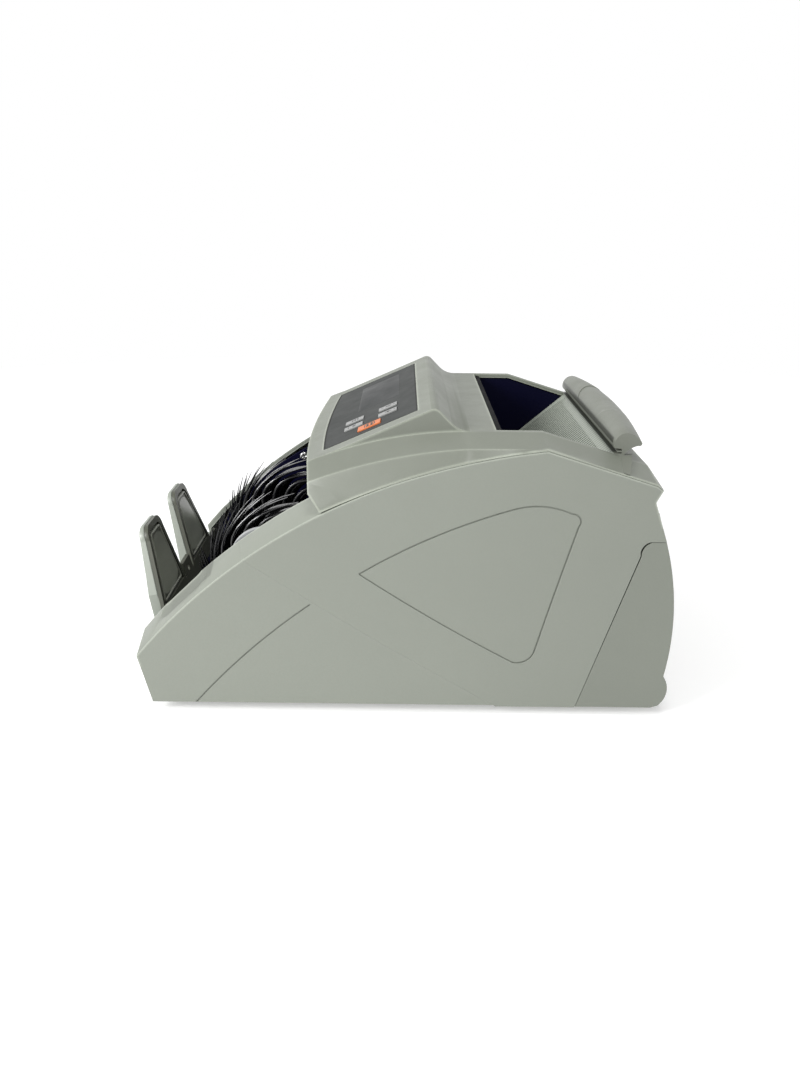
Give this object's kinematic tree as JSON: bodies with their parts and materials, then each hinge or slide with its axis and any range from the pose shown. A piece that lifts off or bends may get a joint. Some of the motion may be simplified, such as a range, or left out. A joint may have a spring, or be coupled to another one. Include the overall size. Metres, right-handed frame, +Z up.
{
  "type": "banknote counting machine",
  "caption": "Desktop banknote counter: rear feed hopper with sloping ribbed plate, tilted key and display panel, bladed stacking wheels, leaning front prongs and side covers.",
  "frame": {"origin": "centre of the machine's footprint box, on the surface its feet stand on", "axes": "+Z up, -Y the front with the note pocket, +Y the rear with the hopper and mains fittings, +X the side of the keys"},
  "size_m": [0.244, 0.3185, 0.175],
  "materials": {
    "body_grey": "fine textured",
    "deck_grey": "fine textured",
    "rear_grey": "fine textured",
    "base_grey": "fine textured",
    "navy": "satin",
    "stopper_grey": "satin",
    "pad_dark": "semi-gloss",
    "boss_grey": "satin",
    "plate_grey": "satin",
    "gate_dark": "satin",
    "handle_grey": "fine textured",
    "overlay_grey": "satin film",
    "key_grey": "satin",
    "key_orange": "satin",
    "blade_black": "glossy",
    "rubber": "dull",
    "steel": "brushed",
    "bronze": "satin",
    "alloy": "satin",
    "board_green": "satin",
    "motor_case": "satin",
    "coil": "lacquered",
    "guide_black": "satin",
    "black_plastic": "satin"
  },
  "bodies": {
    "housing": {"base_tray": "base_grey", "rubber_feet": "rubber", "right_side_cover": "body_grey", "left_side_cover": "body_grey", "top_cover": "deck_grey", "rear_cover": "rear_grey", "front_stopper": "stopper_grey", "stopper_lining": "pad_dark", "stacker_tray": "navy", "right_liner": "navy", "left_liner": "navy", "liner_boss": "boss_grey", "right_frame": "steel", "left_frame": "steel", "tie_rods": "steel", "fasteners": "steel", "shaft_bearings": "bronze", "feed_plate": "plate_grey", "hopper_gate": "gate_dark", "gate_pads": "rubber", "carry_handle": "handle_grey", "display_overlay": "overlay_grey", "display_module": "board_green", "key_board": "board_green", "upper_note_guide": "guide_black", "lower_note_guide": "guide_black", "sensors": "black_plastic", "feed_motor": "motor_case", "drive_motor": "motor_case", "timing_belts": "rubber", "main_board": "board_green", "transformer": "coil", "mains_inlet": "black_plastic", "switch_housing": "black_plastic", "fuse_holder": "black_plastic"},
    "impellers": {"impeller_shaft": "steel", "right_impeller": "blade_black", "left_impeller": "blade_black", "impeller_pulley": "alloy"},
    "transport": {"transport_shaft": "steel", "transport_rollers": "rubber", "transport_pulleys": "alloy", "encoder_disc": "black_plastic"},
    "pinch": {"pinch_shaft": "steel", "pinch_rollers": "rubber"},
    "drive_spindle": {"drive_motor_pulley": "alloy"},
    "feed": {"feed_shaft": "steel", "feed_rollers": "rubber", "feed_pulleys": "alloy"},
    "pickup": {"pickup_shaft": "steel", "pickup_rollers": "rubber", "pickup_pulley": "alloy"},
    "feed_spindle": {"feed_motor_pulley": "alloy"},
    "key_reset": {"key_reset": "key_grey"},
    "key_add": {"key_add": "key_grey"},
    "key_batch": {"key_batch": "key_grey"},
    "key_mode": {"key_mode": "key_grey"},
    "key_start": {"key_start": "key_orange"},
    "rocker": {"power_rocker": "black_plastic"},
    "gap_knob": {"gap_knob": "black_plastic"}
  },
  "joints": [
    {"name": "impeller_spin", "type": "hinge", "parent": "housing", "child": "impellers", "pos_m": [0, -0.0735, 0.0585], "axis": [1, 0, 0], "continuous": true},
    {"name": "transport_spin", "type": "hinge", "parent": "housing", "child": "transport", "pos_m": [0, -0.008, 0.07], "axis": [1, 0, 0], "continuous": true},
    {"name": "pinch_spin", "type": "hinge", "parent": "housing", "child": "pinch", "pos_m": [0, -0.01185, 0.09186], "axis": [1, 0, 0], "continuous": true},
    {"name": "drive_motor_spin", "type": "hinge", "parent": "housing", "child": "drive_spindle", "pos_m": [0, 0.004, 0.03], "axis": [1, 0, 0], "continuous": true},
    {"name": "feed_spin", "type": "hinge", "parent": "housing", "child": "feed", "pos_m": [0, 0.0743, 0.0773], "axis": [1, 0, 0], "continuous": true},
    {"name": "pickup_spin", "type": "hinge", "parent": "housing", "child": "pickup", "pos_m": [0, 0.10167, 0.1156], "axis": [1, 0, 0], "continuous": true},
    {"name": "feed_motor_spin", "type": "hinge", "parent": "housing", "child": "feed_spindle", "pos_m": [0, 0.04, 0.034], "axis": [1, 0, 0], "continuous": true},
    {"name": "key_reset_press", "type": "slide", "parent": "housing", "child": "key_reset", "axis": [0, 0.4058, -0.914], "range_m": [0, 0.0008], "stiffness_N_per_m": 400},
    {"name": "key_add_press", "type": "slide", "parent": "housing", "child": "key_add", "axis": [0, 0.4058, -0.914], "range_m": [0, 0.0008], "stiffness_N_per_m": 400},
    {"name": "key_batch_press", "type": "slide", "parent": "housing", "child": "key_batch", "axis": [0, 0.4058, -0.914], "range_m": [0, 0.0008], "stiffness_N_per_m": 400},
    {"name": "key_mode_press", "type": "slide", "parent": "housing", "child": "key_mode", "axis": [0, 0.4058, -0.914], "range_m": [0, 0.0008], "stiffness_N_per_m": 400},
    {"name": "key_start_press", "type": "slide", "parent": "housing", "child": "key_start", "axis": [0, 0.4058, -0.914], "range_m": [0, 0.0008], "stiffness_N_per_m": 400},
    {"name": "power_switch", "type": "hinge", "parent": "housing", "child": "rocker", "pos_m": [0.024, 0.1517, 0.04], "axis": [1, 0, 0], "range_deg": [-18, 0]},
    {"name": "gap_adjust", "type": "hinge", "parent": "housing", "child": "gap_knob", "pos_m": [0, 0.1425, 0.145], "axis": [0, 0, 1], "range_deg": [-180, 180]}
  ],
  "couplings": [
    {"joint": "transport_spin", "follows": "impeller_spin", "ratio": 1.6667},
    {"joint": "pinch_spin", "follows": "impeller_spin", "ratio": -2.9167},
    {"joint": "drive_motor_spin", "follows": "impeller_spin", "ratio": 2.1429},
    {"joint": "pickup_spin", "follows": "feed_spin", "ratio": 1.5},
    {"joint": "feed_motor_spin", "follows": "feed_spin", "ratio": 1.7143}
  ]
}
